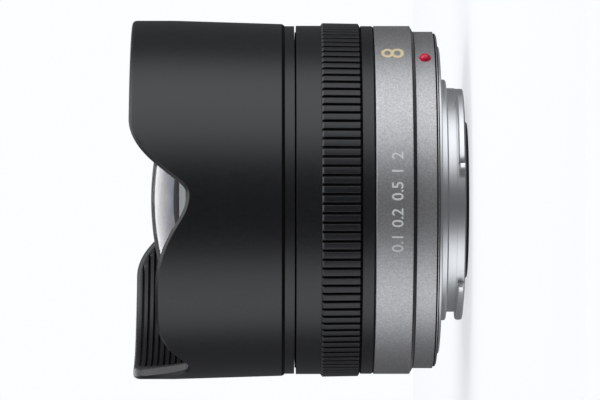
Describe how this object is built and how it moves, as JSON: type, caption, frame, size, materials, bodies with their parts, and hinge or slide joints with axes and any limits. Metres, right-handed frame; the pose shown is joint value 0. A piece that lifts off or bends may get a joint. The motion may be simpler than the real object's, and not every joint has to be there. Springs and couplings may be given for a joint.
{
  "type": "fisheye lens",
  "caption": "Autofocus fisheye prime lens: fixed petal hood, domed front element, ribbed focus ring, seven blade iris, inner focus and bayonet mount.",
  "frame": {"origin": "optical axis at the mount flange plane", "axes": "+Z along the optical axis to the subject, -Z to the camera, +Y through the index dot and the middle of a long petal"},
  "size_m": [0.0606, 0.0606, 0.0565],
  "materials": {
    "black_plastic": "fine satin",
    "black_anodised": "satin",
    "glass": "coated",
    "steel": "bright",
    "grip_rubber": "ribbed satin",
    "bare_aluminium": "satin",
    "white_plastic": "smooth",
    "grey_paint": "fine metallic satin",
    "gloss_black": "gloss",
    "red_enamel": "gloss",
    "chrome": "satin bright",
    "gold": "bright",
    "blade_steel": "matte",
    "board": "satin"
  },
  "bodies": {
    "barrel": {"hood_barrel": "black_plastic", "front_frame": "black_plastic", "front_retaining_ring": "black_anodised", "front_element": "glass", "front_cell": "black_anodised", "second_element": "glass", "second_retainer": "black_anodised", "third_element": "glass", "third_spacer": "black_anodised", "fourth_element": "glass", "fourth_retainer": "black_anodised", "cell_screws": "steel", "main_frame": "black_plastic", "frame_screws": "steel", "encoder_sensor": "black_plastic", "slide_washer": "white_plastic", "rear_barrel": "grey_paint", "accent_ring": "gloss_black", "mount_collar": "grey_paint", "index_dot": "red_enamel", "mount_plate": "chrome", "bayonet_ring": "chrome", "mount_screws": "steel", "contact_block": "black_plastic", "contact_pins": "gold", "rear_baffle": "black_plastic", "rear_cell": "black_plastic", "eighth_element": "glass", "ninth_element": "glass", "rear_spacer": "black_anodised", "tenth_element": "glass", "rear_retainer": "black_anodised", "guide_rod_main": "steel", "guide_rod_second": "steel", "focus_motor": "steel", "screw_bracket": "steel", "iris_housing": "black_plastic", "fifth_element": "glass", "iris_cover": "black_plastic", "iris_screws": "steel", "iris_motor": "steel", "main_board": "board"},
    "focus_ring": {"focus_sleeve": "black_plastic", "focus_grip": "grip_rubber", "encoder_ring": "bare_aluminium"},
    "focus_group": {"focus_carriage": "black_plastic", "sixth_element": "glass", "seventh_element": "glass", "focus_nut": "white_plastic"},
    "focus_screw": {"lead_screw": "steel"},
    "iris_drive": {"iris_ring": "bare_aluminium"},
    "iris_gear": {"iris_pinion": "gold"},
    "blade_1": {"iris_blade_1": "blade_steel"},
    "blade_2": {"iris_blade_2": "blade_steel"},
    "blade_3": {"iris_blade_3": "blade_steel"},
    "blade_4": {"iris_blade_4": "blade_steel"},
    "blade_5": {"iris_blade_5": "blade_steel"},
    "blade_6": {"iris_blade_6": "blade_steel"},
    "blade_7": {"iris_blade_7": "blade_steel"}
  },
  "joints": [
    {"name": "focus_ring_turn", "type": "hinge", "parent": "barrel", "child": "focus_ring", "pos_m": [0, 0, 0.0177], "axis": [0, 0, 1], "continuous": true},
    {"name": "focus_slide", "type": "slide", "parent": "barrel", "child": "focus_group", "axis": [0, 0, 1], "range_m": [-0.001, 0.001]},
    {"name": "lead_screw_spin", "type": "hinge", "parent": "barrel", "child": "focus_screw", "pos_m": [-0.01485, -0.01485, 0.01], "axis": [0, 0, 1], "range_deg": [-725, 725]},
    {"name": "iris_turn", "type": "hinge", "parent": "barrel", "child": "iris_drive", "pos_m": [0, 0, 0.0167], "axis": [0, 0, 1], "range_deg": [0, 24]},
    {"name": "iris_pinion_spin", "type": "hinge", "parent": "barrel", "child": "iris_gear", "pos_m": [0.01209, -0.01209, 0.0167], "axis": [0, 0, 1], "range_deg": [-173, 2]},
    {"name": "blade_1_swing", "type": "hinge", "parent": "barrel", "child": "blade_1", "pos_m": [0.0124, 0, 0.0175], "axis": [0, 0, 1], "range_deg": [-18.5, 0.5]},
    {"name": "blade_2_swing", "type": "hinge", "parent": "barrel", "child": "blade_2", "pos_m": [0.00773, 0.00969, 0.0175], "axis": [0, 0, 1], "range_deg": [-18.5, 0.5]},
    {"name": "blade_3_swing", "type": "hinge", "parent": "barrel", "child": "blade_3", "pos_m": [-0.00276, 0.01209, 0.0175], "axis": [0, 0, 1], "range_deg": [-18.5, 0.5]},
    {"name": "blade_4_swing", "type": "hinge", "parent": "barrel", "child": "blade_4", "pos_m": [-0.01117, 0.00538, 0.0175], "axis": [0, 0, 1], "range_deg": [-18.5, 0.5]},
    {"name": "blade_5_swing", "type": "hinge", "parent": "barrel", "child": "blade_5", "pos_m": [-0.01117, -0.00538, 0.0175], "axis": [0, 0, 1], "range_deg": [-18.5, 0.5]},
    {"name": "blade_6_swing", "type": "hinge", "parent": "barrel", "child": "blade_6", "pos_m": [-0.00276, -0.01209, 0.0175], "axis": [0, 0, 1], "range_deg": [-18.5, 0.5]},
    {"name": "blade_7_swing", "type": "hinge", "parent": "barrel", "child": "blade_7", "pos_m": [0.00773, -0.00969, 0.0175], "axis": [0, 0, 1], "range_deg": [-18.5, 0.5]}
  ],
  "couplings": [
    {"joint": "lead_screw_spin", "follows": "focus_slide", "rad_per_m": 12566},
    {"joint": "iris_pinion_spin", "follows": "iris_turn", "ratio": -7.1429},
    {"joint": "blade_1_swing", "follows": "iris_turn", "ratio": -0.75},
    {"joint": "blade_2_swing", "follows": "iris_turn", "ratio": -0.75},
    {"joint": "blade_3_swing", "follows": "iris_turn", "ratio": -0.75},
    {"joint": "blade_4_swing", "follows": "iris_turn", "ratio": -0.75},
    {"joint": "blade_5_swing", "follows": "iris_turn", "ratio": -0.75},
    {"joint": "blade_6_swing", "follows": "iris_turn", "ratio": -0.75},
    {"joint": "blade_7_swing", "follows": "iris_turn", "ratio": -0.75}
  ]
}
